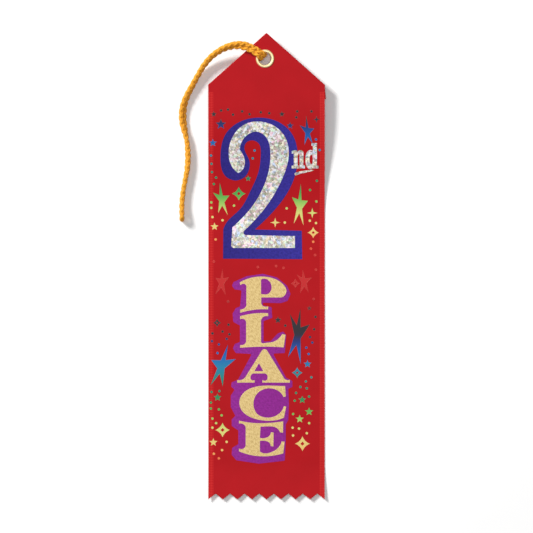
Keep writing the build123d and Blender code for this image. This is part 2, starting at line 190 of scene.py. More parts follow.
class Graph:
    """One material's node tree."""

    def __init__(self, name: str) -> None:
        """Start a material with no nodes.

        Args:
            name: the material's name.
        """
        self.material = bpy.data.materials.new(name)
        self.material.use_nodes = True
        self.tree = self.material.node_tree
        self.tree.nodes.clear()

    def node(
        self,
        kind: str,
        settings: Optional[dict[str, object]] = None,
        inputs: Optional[dict[Union[int, str], Input]] = None,
        output: Union[int, str] = 0,
    ) -> Wire:
        """Add a node.

        Args:
            kind: the node's type.
            settings: its own settings, set first; "stops" fills a colour ramp.
            inputs: values or links of its sockets, by name or index.
            output: the output to return.

        Returns:
            The chosen output, or a wire with no socket where the node has none.
        """
        node = self.tree.nodes.new(kind)
        for key, value in (settings or {}).items():
            if key == "stops":
                self._fill_ramp(node.color_ramp, value)
            else:
                setattr(node, key, value)
        for key, value in (inputs or {}).items():
            if isinstance(value, Wire):
                self.tree.links.new(value.socket, node.inputs[key])
            else:
                node.inputs[key].default_value = value
        return Wire(self, node.outputs[output] if node.outputs else None)

    @staticmethod
    def _fill_ramp(ramp: bpy.types.ColorRamp, stops: Scale) -> None:
        """Give a colour ramp its stops.

        Args:
            ramp: the ramp.
            stops: places from 0 to 1 and their colours.
        """
        while len(ramp.elements) > 1:
            ramp.elements.remove(ramp.elements[-1])
        ramp.elements[0].position = stops[0][0]
        ramp.elements[0].color = (*stops[0][1], 1.0)
        for position, colour in stops[1:]:
            ramp.elements.new(position).color = (*colour, 1.0)

    def parts(self, vector: Wire) -> tuple[Wire, ...]:
        """The three values of a vector."""
        split = self.node("ShaderNodeSeparateXYZ", None, {0: vector})
        return tuple(split.output(axis) for axis in "XYZ")

    def place(self) -> tuple[Wire, ...]:
        """Millimetres across, along and above, in the object's own frame."""
        where = self.node("ShaderNodeTexCoord", output="Object")
        return tuple(part * (1 / MM) for part in self.parts(where))

    def face(self) -> tuple[Wire, Wire, Wire]:
        """Millimetres across and along, and the two as a flat vector."""
        across, along, _ = self.place()
        return across, along, self.at(across, along, 0.0)

    def at(self, x: Input, y: Input, z: Input) -> Wire:
        """Build a vector from three values."""
        return self.node("ShaderNodeCombineXYZ", inputs={0: x, 1: y, 2: z})

    def noise(self, vector: Wire, scale: float, detail: float = 2.0, rough: float = 0.5) -> Wire:
        """Fractal noise, 0..1."""
        inputs = {"Vector": vector, "Scale": scale, "Detail": detail, "Roughness": rough}
        return self.node("ShaderNodeTexNoise", {"noise_dimensions": "3D"}, inputs, "Fac")

    def cells(self, vector: Wire, scale: float, channel: str) -> Wire:
        """A random value for each cell, from one channel of its colour."""
        colour = self.node("ShaderNodeTexVoronoi", None, {"Vector": vector, "Scale": scale}, "Color")
        return self.node("ShaderNodeSeparateColor", None, {0: colour}, channel)

    def ramp(self, value: Wire, stops: Scale) -> Wire:
        """Colour from a value."""
        return self.node("ShaderNodeValToRGB", {"stops": stops}, {"Fac": value}, "Color")

    @staticmethod
    def opaque(value: Input) -> Input:
        """Add full opacity to a plain colour."""
        return (*value, 1.0) if isinstance(value, tuple) and len(value) == 3 else value

    def mix(self, share: Input, first: Input, second: Input, blend: str = "MIX") -> Wire:
        """Mix two colours.

        Args:
            share: how much of the second.
            first: colour at 0.
            second: colour at 1.
            blend: the blend type.

        Returns:
            The mixed colour.
        """
        settings = {"data_type": "RGBA", "blend_type": blend}
        inputs = {MIX_SHARE: share, MIX_FIRST: self.opaque(first), MIX_SECOND: self.opaque(second)}
        return self.node("ShaderNodeMix", settings, inputs, MIX_RESULT)

    def bump(self, height: Wire, relief_mm: float, strength: float) -> Wire:
        """Normal from a height."""
        inputs = {"Height": height, "Distance": relief_mm * MM, "Strength": strength}
        return self.node("ShaderNodeBump", None, inputs, "Normal")

    def finish(self, **inputs: Input) -> bpy.types.Material:
        """Close the material with a Principled surface.

        Args:
            inputs: its sockets, with underscores for spaces.

        Returns:
            The material.
        """
        sockets = {name.replace("_", " "): self.opaque(value) for name, value in inputs.items()}
        surface = self.node("ShaderNodeBsdfPrincipled", None, sockets, "BSDF")
        self.node("ShaderNodeOutputMaterial", None, {"Surface": surface})
        return self.material


# --- finishes


def scale(*stops: tuple[Number, ...]) -> Scale:
    """Colour scale from rows of a place and a display colour."""
    return tuple((place, tone(*colour)) for place, *colour in stops)


@dataclass(frozen=True)
class SatinFinish:
    """Red acetate satin with a plainer, ribbed selvage."""

    base: Colour = tone(173, 16, 25)
    light: Colour = tone(184, 19, 28)
    deep: Colour = tone(158, 12, 19)
    selvage: Colour = tone(202, 46, 45)
    selvage_inner_mm: float = 23.2
    selvage_top_mm: float = 76.0
    warp_per_mm: float = 4.2
    weft_per_mm: float = 3.36
    rib_pitch_mm: float = 0.73
    tick_pitch_mm: float = 1.1
    relief_mm: float = 0.04

    def build(self) -> bpy.types.Material:
        """Make the material.

        Returns:
            The material.
        """
        graph = Graph(Slot.SATIN.value)
        across, along, above = graph.place()
        where = graph.at(across, along, above)
        streaks = graph.noise(graph.at(across * 0.25, along * 2.6, 0.0), 1.0, 3.0, 0.6)
        clouds = graph.noise(where, 0.09, 2.0, 0.5)
        body = graph.mix(clouds, self.deep, self.light)
        body = graph.mix(streaks * 0.5 + 0.2, body, self.base)
        weave = across.waves(self.warp_per_mm) * 0.35 + along.waves(self.weft_per_mm) * 0.65
        body = graph.mix(weave * 0.14, body, self.deep)
        edge = (abs(across) > self.selvage_inner_mm) * (along < self.selvage_top_mm)
        ribs = across.waves(1 / self.rib_pitch_mm)
        ticks = (along * (TURN / self.tick_pitch_mm) + graph.noise(where, 0.6) * 3.0).wave()
        edge_colour = graph.mix((ribs * 0.6 + ticks * 0.35).clamp(), self.base, self.selvage)
        colour = graph.mix(edge, body, edge_colour)
        height = weave * 0.35 + streaks * 0.2 + edge * ribs
        return graph.finish(
            Base_Color=colour,
            Roughness=0.46 + edge * 0.16 + streaks * 0.08,
            Specular_IOR_Level=0.08,
            Normal=graph.bump(height, self.relief_mm, 0.6),
        )


@dataclass(frozen=True)
class InkFinish:
    """Matt screen ink whose tone drifts across the ribbon and lets a little weave through."""

    name: str
    left: Colour
    right: Colour
    edge: Colour
    span_mm: tuple[float, float] = (-20.0, 16.0)
    weft_per_mm: float = 3.4
    relief_mm: float = 0.03

    def build(self) -> bpy.types.Material:
        """Make the material.

        Returns:
            The material.
        """
        graph = Graph(self.name)
        across, along, where = graph.face()
        low, high = self.span_mm
        share = ((across - low) / (high - low)).clamp()
        mottle = graph.noise(where, 0.55, 4.0, 0.65)
        grain = graph.noise(where, 1.1, 3.0, 0.75)
        colour = graph.mix(share * 0.6 + mottle * 0.5 - 0.05, self.left, self.right)
        colour = graph.mix((grain * 3.0 - 1.1).clamp() * 0.7, colour, self.edge)
        return graph.finish(
            Base_Color=colour,
            Roughness=0.52 + grain * 0.14,
            Specular_IOR_Level=0.12,
            Normal=graph.bump(along.waves(self.weft_per_mm) * 0.4 + grain * 0.6, self.relief_mm, 0.5),
        )


@dataclass(frozen=True)
class SparkleFoilFinish:
    """Silver foil broken into small facets that each catch a different tint, with each facet's glint painted
    into its colour.
    """

    facets_per_mm: float = 1.05
    fine_per_mm: float = 2.4
    tints_per_mm: float = 0.9
    wander_mm: float = 0.8
    relief_mm: float = 0.08
    # Painted glint brightness of the facets, from grey to white.
    painted_glint_greys: Scale = scale(
        (0.0, 128, 124, 120), (0.22, 172, 166, 158), (0.45, 206, 202, 194), (0.6, 226, 223, 220),
        (0.7, 250, 250, 250), (1.0, 255, 255, 255),
    )
    tints: Scale = scale(
        (0.0, 250, 226, 176), (0.2, 236, 236, 230), (0.38, 176, 204, 250), (0.52, 240, 240, 236),
        (0.66, 250, 190, 226), (0.82, 190, 240, 206), (1.0, 250, 236, 200),
    )

    def build(self) -> bpy.types.Material:
        """Make the material.

        Returns:
            The material.
        """
        graph = Graph(Slot.SILVER.value)
        across, along, where = graph.face()
        bent = graph.at(
            across + graph.noise(where, 1.1) * self.wander_mm,
            along + graph.noise(graph.at(along, across, 4.0), 1.1) * self.wander_mm,
            0.0,
        )
        coarse = graph.cells(bent, self.facets_per_mm, "Red")
        tint = graph.ramp(graph.cells(bent, self.tints_per_mm, "Green"), self.tints)
        fine = graph.cells(where, self.fine_per_mm, "Blue")
        # Painted glints and reflections: each facet gets its own brightness, up to white.
        silver = graph.ramp(coarse * 0.62 + fine * 0.38, self.painted_glint_greys)
        colour = graph.mix(0.7, silver, tint, "MULTIPLY")
        return graph.finish(
            Base_Color=colour,
            Metallic=0.2,
            Roughness=0.4 + fine * 0.2,
            Specular_IOR_Level=0.3,
            Normal=graph.bump(coarse * 0.6 + fine * 0.4, self.relief_mm, 0.5),
        )


@dataclass(frozen=True)
class GoldFoilFinish:
    """Pale gold foil with a fine grain."""

    name: str = "gold_foil"
    base: Colour = tone(212, 184, 122)
    shade: Colour = tone(160, 130, 76)
    light: Colour = tone(236, 212, 154)
    relief_mm: float = 0.05

    def build(self) -> bpy.types.Material:
        """Make the material.

        Returns:
            The material.
        """
        graph = Graph(self.name)
        across, along, where = graph.face()
        brushed = graph.at(across + along * 0.5, along * 0.55, 0.0)
        grain = graph.noise(brushed, 1.7, 4.0, 0.75)
        drift = graph.noise(where, 0.12, 1.0, 0.5)
        colour = graph.mix(drift, self.shade, self.light)
        colour = graph.mix(0.65, colour, self.base)
        steps = ((0.34, self.shade), (0.5, self.base), (0.66, self.light))
        colour = graph.mix(0.72, colour, graph.ramp(grain, steps))
        return graph.finish(
            Base_Color=colour,
            Metallic=0.2,
            Roughness=0.46 + grain * 0.14,
            Specular_IOR_Level=0.2,
            Normal=graph.bump(grain, self.relief_mm, 0.5),
        )


@dataclass(frozen=True)
class RainbowFoilFinish:
    """Foil whose colours run down the ribbon, and start again after one period."""

    name: str = "rainbow_foil"
    # Share of painted glare laid over the whole foil.
    painted_glare_share: float = 0.0
    top_mm: float = 80.0
    period_mm: float = 94.0
    stops: Scale = scale(
        (0.0, 190, 28, 34), (0.035, 120, 34, 42), (0.06, 50, 42, 50), (0.15, 36, 36, 46),
        (0.17, 34, 38, 58), (0.2, 24, 48, 118), (0.24, 2, 86, 168), (0.28, 8, 106, 176),
        (0.32, 24, 128, 168), (0.37, 28, 132, 126), (0.44, 16, 128, 92), (0.49, 44, 152, 78),
        (0.53, 100, 180, 78), (0.56, 158, 200, 96), (0.6, 210, 210, 118), (0.66, 226, 204, 120),
        (0.705, 232, 192, 110), (0.73, 238, 136, 72), (0.77, 224, 70, 54), (0.8, 198, 34, 36),
        (1.0, 190, 28, 34),
    )
    black: Colour = tone(0, 0, 0)
    glare: Colour = tone(240, 214, 190)
    relief_mm: float = 0.04

    def build(self) -> bpy.types.Material:
        """Make the material.

        Returns:
            The material.
        """
        graph = Graph(self.name)
        _, along, where = graph.face()
        share = ((self.top_mm - along) / self.period_mm).fraction()
        grain = graph.noise(where, 3.0, 3.0, 0.7)
        colour = graph.ramp(share, self.stops)
        colour = graph.mix((grain * 2.0 - 0.6).clamp() * 0.25, colour, self.black)
        # Painted glare: small glints that grow with the grain, plus the even painted glare share.
        colour = graph.mix(grain * 0.02 + self.painted_glare_share, colour, self.glare)
        return graph.finish(
            Base_Color=colour,
            Metallic=0.15,
            Roughness=0.44 + grain * 0.16,
            Specular_IOR_Level=0.2,
            Normal=graph.bump(grain, self.relief_mm, 0.5),
        )


# The rims' finishes are lighter than the foil: painted glare and painted highlight along the stamped edges.
RAINBOW_RIM_PAINTED_GLARE = RainbowFoilFinish("rainbow_foil_rim", 0.14)
# Lighter gold tones for the rims: painted highlight along the stamped edges.
GOLD_RIM_PAINTED_HIGHLIGHT = GoldFoilFinish("gold_foil_rim", tone(232, 210, 152), tone(206, 180, 118), tone(246, 228, 178))


@dataclass(frozen=True)
class BrassFinish:
    """Pale polished brass with fine turning marks, a painted highlight along the top of its crown and painted
    shade towards the bore and the outer rim.
    """

    base: Colour = tone(252, 236, 184)
    shade: Colour = tone(214, 176, 112)
    rings_per_mm: float = 7.0
    painted_highlight_radius_mm: float = 3.35
    painted_highlight_reach_mm: float = 0.65
    relief_mm: float = 0.03

    def build(self) -> bpy.types.Material:
        """Make the material.

        Returns:
            The material.
        """
        graph = Graph(Slot.BRASS.value)
        across, along, above = graph.place()
        x, y = across - EYELET_MIDDLE[0], along - EYELET_MIDDLE[1]
        radius = (x * x + y * y).math("SQRT")
        smudge = graph.noise(graph.at(across, along, above), 0.9, 4.0, 0.6)
        # Painted highlight along the top of the crown; painted shade grows with distance from it, towards the
        # bore and the outer rim.
        painted_shade_off_crown = (abs(radius - self.painted_highlight_radius_mm) / self.painted_highlight_reach_mm).clamp()
        colour = graph.mix(painted_shade_off_crown * 0.55 + smudge * 0.25, self.base, self.shade)
        return graph.finish(
            Base_Color=colour,
            Metallic=0.45,
            Roughness=0.36 + smudge * 0.14,
            Normal=graph.bump(radius.waves(self.rings_per_mm) * 0.5 + smudge * 0.5, self.relief_mm, 0.4),
        )


@dataclass(frozen=True)
class CordFinish:
    """Soft rayon yarn: fine fibres along the ply, with painted shade on each ply's side that faces the core.
    """

    name: str = "gold_cord"
    light: Colour = tone(255, 196, 74)
    base: Colour = tone(234, 148, 28)
    dark: Colour = tone(188, 98, 4)
    sheen: Colour = tone(255, 200, 110)
    relief_mm: float = 0.06

    def build(self) -> bpy.types.Material:
        """Make the material.

        Returns:
            The material.
        """
        graph = Graph(self.name)
        along, around, _ = graph.parts(graph.node("ShaderNodeUVMap", {"uv_map": PLY_MAP}))
        fibres = graph.noise(graph.at(along * 0.9, around * 26.0, 0.0), 1.0, 3.0, 0.7)
        flecks = graph.noise(graph.at(along * 1.5, around * 3.0, 3.0), 1.0, 3.0, 0.7)
        colour = graph.mix((fibres * 2.0 - 0.5).clamp(), self.dark, self.light)
        colour = graph.mix(0.35, colour, self.base)
        colour = graph.mix((flecks * 2.6 - 1.0).clamp() * 0.45, colour, self.light)
        # Painted shade: each ply darkens on its side that faces the core, where the plies shade each other.
        outward = (around * TURN).math("COSINE") * 0.5 + 0.5
        painted_crevice_shade = (1 - outward * 1.6).clamp()
        colour = graph.mix(painted_crevice_shade * 0.35, colour, self.dark)
        return graph.finish(
            Base_Color=colour,
            Roughness=0.58 + fibres * 0.2,
            Specular_IOR_Level=0.12,
            Sheen_Weight=0.05,
            Sheen_Roughness=0.35,
            Sheen_Tint=self.sheen,
            Normal=graph.bump(fibres, self.relief_mm, 0.8),
        )


@dataclass(frozen=True)
class AdhesiveFinish:
    """Milky fabric adhesive."""

    dark: Colour = tone(222, 214, 196)
    light: Colour = tone(240, 236, 224)
    relief_mm: float = 0.03

    def build(self) -> bpy.types.Material:
        """Make the material.

        Returns:
            The material.
        """
        graph = Graph(Slot.ADHESIVE.value)
        cloud = graph.noise(graph.face()[2], 0.8, 3.0, 0.6)
        colour = graph.mix(cloud, self.dark, self.light)
        return graph.finish(
            Base_Color=colour,
            Roughness=0.35 + cloud * 0.2,
            Normal=graph.bump(cloud, self.relief_mm, 0.5),
        )


@dataclass(frozen=True)
class FloorFinish:
    """Plain pale studio floor."""

    dark: Colour = tone(249, 249, 250)
    light: Colour = tone(252, 252, 252)

    def build(self) -> bpy.types.Material:
        """Make the material.

        Returns:
            The material.
        """
        graph = Graph("studio_floor")
        where = graph.node("ShaderNodeTexCoord", output="Object")
        grain = graph.noise(where, 40.0, 2.0, 0.5)
        colour = graph.mix(grain, self.dark, self.light)
        return graph.finish(Base_Color=colour, Roughness=0.9, Specular_IOR_Level=0.1)


# --- mesh tools


def show(name: str, data: bpy.types.ID) -> bpy.types.Object:
    """Add an object to the scene.

    Args:
        name: the object's name.
        data: its mesh, curve, light or camera.

    Returns:
        The object.
    """
    thing = bpy.data.objects.new(name, data)
    bpy.context.scene.collection.objects.link(thing)
    return thing


class Sculptor:
    """Makes mesh objects from arrays of points in millimetres."""

    @staticmethod
    def mesh(
        name: str,
        points: Sequence[Sequence[float]],
        faces: Sequence[Face],
        smooth: bool = True,
        uv: Optional[Sequence[tuple[float, float]]] = None,
    ) -> bpy.types.Object:
        """Make an object.

        Args:
            name: the object's name.
            points: corners in millimetres.
            faces: corner numbers of each face.
            smooth: shade it smooth.
            uv: a map value for each corner, stored as the map of the ply.

        Returns:
            The new object, linked to the scene.
        """
        data = bpy.data.meshes.new(name)
        data.from_pydata((np.asarray(points, float) * MM).tolist(), [], [list(face) for face in faces])
        if smooth:
            data.polygons.foreach_set("use_smooth", [True] * len(data.polygons))
            data.set_sharp_from_angle(angle=CREASE)
        if uv is not None:
            layer = data.uv_layers.new(name=PLY_MAP)
            corner = np.zeros(len(data.loops), int)
            data.loops.foreach_get("vertex_index", corner)
            layer.data.foreach_set("uv", np.asarray(uv, float)[corner].ravel())
        data.validate()
        data.update()
        return show(name, data)

    @staticmethod
    def grid_faces(rows: int, columns: int, start: int = 0, wrap: bool = False) -> list[Face]:
        """Faces of a grid of points stored row by row.

        Args:
            rows: points along the first way.
            columns: points along the second way.
            start: number of the first point.
            wrap: close the second way on itself.

        Returns:
            The four-cornered faces.
        """
        faces = []
        for near in range(start, start + (rows - 1) * columns, columns):
            for column in range(columns if wrap else columns - 1):
                beside = (column + 1) % columns
                faces.append((near + column, near + beside, near + columns + beside, near + columns + column))
        return faces

    @staticmethod
    def band(here: int, there: int, corners: int) -> list[Face]:
        """Faces between two rings of corners, from the number of each one's first corner."""
        pairs = [(corner, (corner + 1) % corners) for corner in range(corners)]
        return [(here + near, there + near, there + far, here + far) for near, far in pairs]

    @staticmethod
    def walked(line: np.ndarray) -> np.ndarray:
        """Distance along a line at each of its points."""
        return np.concatenate([[0], np.cumsum(np.linalg.norm(np.diff(line, axis=0), axis=1))])

    @classmethod
    def tube(
        cls,
        line: np.ndarray,
        radius: Sequence[float],
        sides: int,
        start: int = 0,
        outward: Optional[np.ndarray] = None,
    ) -> tuple[np.ndarray, list[Face], list[tuple[float, float]]]:
        """Round tube with closed ends along a line.

        Args:
            line: centre points in millimetres.
            radius: the tube's radius at each point.
            sides: corners of its section.
            start: number of its first corner.
            outward: for each point, the way that the section's first corner faces.

        Returns:
            Its points, faces and map values.
        """
        tangents, sides_u, sides_v = cls.frames(line)
        if outward is not None:
            sides_u = outward - tangents * (outward * tangents).sum(axis=1)[:, None]
            sides_u /= np.linalg.norm(sides_u, axis=1)[:, None]
            sides_v = np.cross(tangents, sides_u)
        turns = np.linspace(0, TURN, sides, endpoint=False)[None, :, None]
        ring = np.cos(turns) * sides_u[:, None, :] + np.sin(turns) * sides_v[:, None, :]
        points = (line[:, None, :] + ring * np.asarray(radius)[:, None, None]).reshape(-1, 3)
        faces = cls.grid_faces(len(line), sides, start, wrap=True)
        faces.append([start + index for index in reversed(range(sides))])
        top = start + (len(line) - 1) * sides
        faces.append([top + index for index in range(sides)])
        uv = [(float(length), index / sides) for length in cls.walked(line) for index in range(sides)]
        return points, faces, uv

    @staticmethod
    def frames(line: np.ndarray) -> tuple[np.ndarray, np.ndarray, np.ndarray]:
        """Directions along a line, and two more that turn with it as little as they can.

        Args:
            line: the line's points.

        Returns:
            For each point, the way along the line and two ways across it.
        """
        tangents = np.gradient(line, axis=0)
        tangents /= np.linalg.norm(tangents, axis=1)[:, None]
        upright = abs(tangents[0][2]) >= UPRIGHT
        guide = np.array([1.0, 0.0, 0.0] if upright else [0.0, 0.0, 1.0])
        first = []
        for tangent in tangents:
            guide = guide - tangent * float(guide @ tangent)
            guide = guide / np.linalg.norm(guide)
            first.append(guide)
        sides_u = np.array(first)
        return tangents, sides_u, np.cross(tangents, sides_u)


class Bundle:
    """Tubes gathered into one mesh."""

    def __init__(self) -> None:
        """Start with no tubes."""
        self.points: list[np.ndarray] = []
        self.faces: list[Face] = []
        self.uv: list[tuple[float, float]] = []
        self.count = 0

    def add(
        self,
        line: np.ndarray,
        radius: Sequence[float],
        sides: int,
        outward: Optional[np.ndarray] = None,
        shift: float = 0.0,
        around: Optional[float] = None,
    ) -> None:
        """Add a tube.

        Args:
            line: its centre points in millimetres.
            radius: its radius at each point.
            sides: corners of its section.
            outward: for each point, the way that the section's first corner faces.
            shift: how far its map starts along the yarn.
            around: one map value for its whole girth, in place of the real ones.
        """
        ring, walls, marks = Sculptor.tube(line, radius, sides, self.count, outward)
        self.points.append(ring)
        self.faces.extend(walls)
        self.uv.extend((u + shift, v if around is None else around) for u, v in marks)
        self.count += len(ring)

    def mesh(self, name: str, mapped: bool = True) -> bpy.types.Object:
        """Make one object of the tubes."""
        return Sculptor.mesh(name, np.concatenate(self.points), self.faces, uv=self.uv if mapped else None)


def dress(piece: bpy.types.Object, material: bpy.types.Material, body: Body) -> bpy.types.Object:
    """Give a piece its finish, body and material slot.

    Args:
        piece: the piece.
        material: its finish.
        body: the body that it rides on.

    Returns:
        The piece.
    """
    piece.data.materials.append(material)
    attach(piece, body.value)
    return piece


@dataclass(frozen=True)
class Profile:
    """Side view of the ribbon: a raised flat header, a gentle slope and a flat tail."""

    lift: float
    slope_top: float
    curl_top: float
    end: float
    slope_bottom: float = 20.0
    curl: float = 1.4
    curl_power: float = 1.7

    def height(self, along: np.ndarray) -> np.ndarray:
        """Height of the ribbon's underside above the table, in millimetres.

        Args:
            along: places along the ribbon.

        Returns:
            The heights there.
        """
        share = np.clip((self.slope_top - along) / (self.slope_top - self.slope_bottom), 0, 1)
        towards_end = np.clip((self.curl_top - along) / (self.curl_top - self.end), 0, 1)
        return self.lift * (1 + np.cos(np.pi * share)) / 2 + self.curl * towards_end**self.curl_power


# --- the ribbon


@dataclass
class SatinStrip:
    """The strip of satin: its front, its folded corners, its folds and its pinked end."""

    width: float = 50.8
    length: float = 203.2
    thickness: float = 0.3
    point_rise: float = 22.6
    flap_drop: float = 6.0
    overhang: float = 0.5
    layer_pitch: float = 0.38
    teeth: int = 8
    tooth_depth: float = 2.5
    selvage_width: float = 2.2
    rib_depth: float = 0.012
    rib_pitch: float = 0.52
    cut_drop: float = 0.05
    cut_reach: float = 0.5
    slope_margin: float = 1.0
    hole: float = 3.05
    rim_pull: float = 0.35
    selvage_columns: int = 24
    middle_columns: int = 84
    rows: int = 250
    flap_rows: int = 60
    flap_columns: int = 90
    flap_start: float = 0.006
    flap_bend: float = 0.5
    fold_rows: int = 80
    fold_arc: int = 14
    fold_inset: float = 0.3
    fold_bulge: float = 0.22
    fold_tuck: float = 0.01
    threads: int = 150
    thread_seed: int = 11
    thread_sides: int = 5
    thread_margin: float = 0.4
    thread_root: float = 0.25
    thread_reach: tuple[float, float] = (0.12, 0.42)
    thread_lean: float = 0.25
    thread_height: tuple[float, float] = (0.1, 0.22)
    thread_bend: tuple[float, float] = (0.3, 0.5)
    thread_droop: float = 0.06
    thread_lowest: float = 0.05
    thread_radii: tuple[float, ...] = (0.035, 0.032, 0.02)
    finish: SatinFinish = SatinFinish()

    @property
    def half(self) -> float:
        """Half the ribbon's width."""
        return self.width / 2

    @property
    def top(self) -> float:
        """Height of the point along the ribbon."""
        return self.length / 2

    @property
    def shoulder(self) -> float:
        """Height of the two shoulders along the ribbon."""
        return self.top - self.point_rise

    @property
    def pitch(self) -> float:
        """Width of one tooth."""
        return self.width / self.teeth

    def profile(self) -> Profile:
        """The ribbon's side view, read from the frame.

        Returns:
            The side view.
        """
        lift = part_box("satin_ribbon")[1].z / MM - self.thickness
        foils = [part["node"] for part in frame["record"]["subparts"] if "foil" in part["node"]]
        lowest = min(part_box(node)[0].y / MM for node in foils)
        return Profile(
            lift, self.shoulder - self.flap_drop - self.slope_margin, lowest - self.slope_margin, -self.top
        )

    def cut(self, across: np.ndarray) -> np.ndarray:
        """Places along the ribbon of its pinked end."""
        saw = np.abs(((across + self.half) / self.pitch) % 1.0 - 0.5) * 2
        return -self.top + self.tooth_depth * (1 - saw)

    def ribs(self, inside: np.ndarray) -> np.ndarray:
        """Fine ribs of the woven edge, in millimetres."""
        return self.rib_depth * np.sin(inside / self.rib_pitch * TURN)

    def selvage_ridge(self, across: np.ndarray) -> np.ndarray:
        """Ribs of both edges, just under the cloth's face."""
        inside = np.abs(across) - (self.half - self.selvage_width)
        return np.where(inside > 0, self.ribs(inside) - self.rib_depth, 0.0)

    def front(self, satin: bpy.types.Material) -> bpy.types.Object:
        """Front of the ribbon from its point to its pinked end.

        Args:
            satin: the satin.

        Returns:
            The piece.
        """
        inner = self.half - self.pitch / 2
        band = np.linspace(0, self.pitch / 2, self.selvage_columns + 1)[:-1]
        middle = np.linspace(-inner, inner, self.middle_columns + 1)
        across = np.concatenate([band - self.half, middle, (self.half - band)[::-1]])
        bottom = self.cut(across)
        top = self.top - self.point_rise * np.abs(across) / self.half
        along = bottom + (top - bottom) * np.linspace(0, 1, self.rows)[:, None]
        wide = np.broadcast_to(across, along.shape)
        under = self.profile().height(along)
        over = under + self.thickness + self.selvage_ridge(wide) * (along < self.shoulder)
        over = over - self.cut_drop * np.clip(1 - (along - bottom) / self.cut_reach, 0, 1)
        upper = np.stack([wide, along, over], axis=-1).reshape(-1, 3)
        lower = np.stack([wide, along, under], axis=-1).reshape(-1, 3)
        face_up = self._punch(upper, lower, Sculptor.grid_faces(self.rows, len(across)))
        return self._layer("satin_front", upper, lower, face_up, satin)

    def _punch(self, upper: np.ndarray, lower: np.ndarray, grid: Sequence[Face]) -> list[Face]:
        """Leave a hole for the eyelet in a layer of cloth, and pull its rim round.

        Args:
            upper: points of the layer's face, moved where they are near the rim.
            lower: points of its back, moved too.
            grid: its faces.

        Returns:
            The faces that stay.
        """
        offset = upper[:, :2] - np.array(EYELET_MIDDLE)
        reach = np.hypot(offset[:, 0], offset[:, 1])
        cut = reach < self.hole - self.rim_pull
        near = ~cut & (reach < self.hole + self.rim_pull)
        moved = np.array(EYELET_MIDDLE) + offset[near] / reach[near][:, None] * self.hole
        upper[near, :2] = moved
        lower[near, :2] = moved
        return [face for face in grid if not any(cut[list(face)])]

    def _layer(
        self,
        name: str,
        upper: np.ndarray,
        lower: np.ndarray,
        face_up: Sequence[Face],
        material: bpy.types.Material,
    ) -> bpy.types.Object:
        """Close two surfaces into one thin piece of cloth.

        Args:
            name: the piece's name.
            upper: points of its face.
            lower: the same points on its back.
            face_up: faces of the upper surface.
            material: the satin.

        Returns:
            The piece.
        """
        count = len(upper)
        face_down = [tuple(count + index for index in reversed(face)) for face in face_up]
        faces = [*face_up, *face_down, *self._walls(face_up, count)]
        used = np.unique(np.concatenate([np.asarray(face_up).ravel(), np.asarray(face_down).ravel()]))
        renumber = np.full(2 * count, -1)
        renumber[used] = np.arange(len(used))
        points = np.concatenate([upper, lower])[used]
        piece = Sculptor.mesh(name, points, [renumber[list(face)].tolist() for face in faces])
        return dress(piece, material, Body.RIBBON)

    @staticmethod
    def _walls(faces: Sequence[Face], count: int) -> list[Face]:
        """Walls between two layers, along every free edge of the upper one.

        Args:
            faces: faces of the upper layer.
            count: how far the lower layer's numbers are from the upper one's.

        Returns:
            The walls.
        """
        edges = {edge for face in faces for edge in zip(face, (*face[1:], face[0]))}
        free = [(here, there) for here, there in edges if (there, here) not in edges]
        return [(there, here, count + here, count + there) for here, there in free]

    def flap(self, side: int, level: int, satin: bpy.types.Material) -> bpy.types.Object:
        """One folded corner behind the header.

        Args:
            side: the shoulder that it is folded from, -1 left or 1 right.
            level: layers below the front.
            satin: the satin.

        Returns:
            The piece.
        """
        overhang = self.overhang if side < 0 else 0.0
        near = np.array([side * self.half, self.shoulder])
        far = np.array([-side * self.half, self.shoulder])
        low = np.array([-side * (self.half + overhang), self.shoulder - self.flap_drop])
        tip = np.array([0.0, self.top])
        share = np.linspace(self.flap_start, 1, self.flap_columns)[:, None]
        bend = self.flap_bend
        lower_edge = near + (low - near) * share
        rising = near + (tip - near) * (share / bend)
        falling = tip + (far - tip) * ((share - bend) / (1 - bend))
        upper_edge = np.where(share < bend, rising, falling)
        climb = np.linspace(0, 1, self.flap_rows)[:, None]
        flat = lower_edge + (upper_edge - lower_edge) * climb[:, None]
        from_edge = np.linalg.norm(upper_edge - lower_edge, axis=1) * climb
        under = self.profile().lift - level * self.layer_pitch
        ridge = np.where(from_edge < self.selvage_width, self.ribs(from_edge), 0.0)
        upper = np.dstack([flat, np.full(flat.shape[:2], under + self.thickness)]).reshape(-1, 3)
        lower = np.dstack([flat, under - ridge]).reshape(-1, 3)
        grid = self._punch(upper, lower, Sculptor.grid_faces(self.flap_rows, self.flap_columns))
        face_up = grid if side < 0 else [tuple(reversed(face)) for face in grid]
        name = "satin_left_corner" if side < 0 else "satin_right_corner"
        return self._layer(name, upper, lower, face_up, satin)

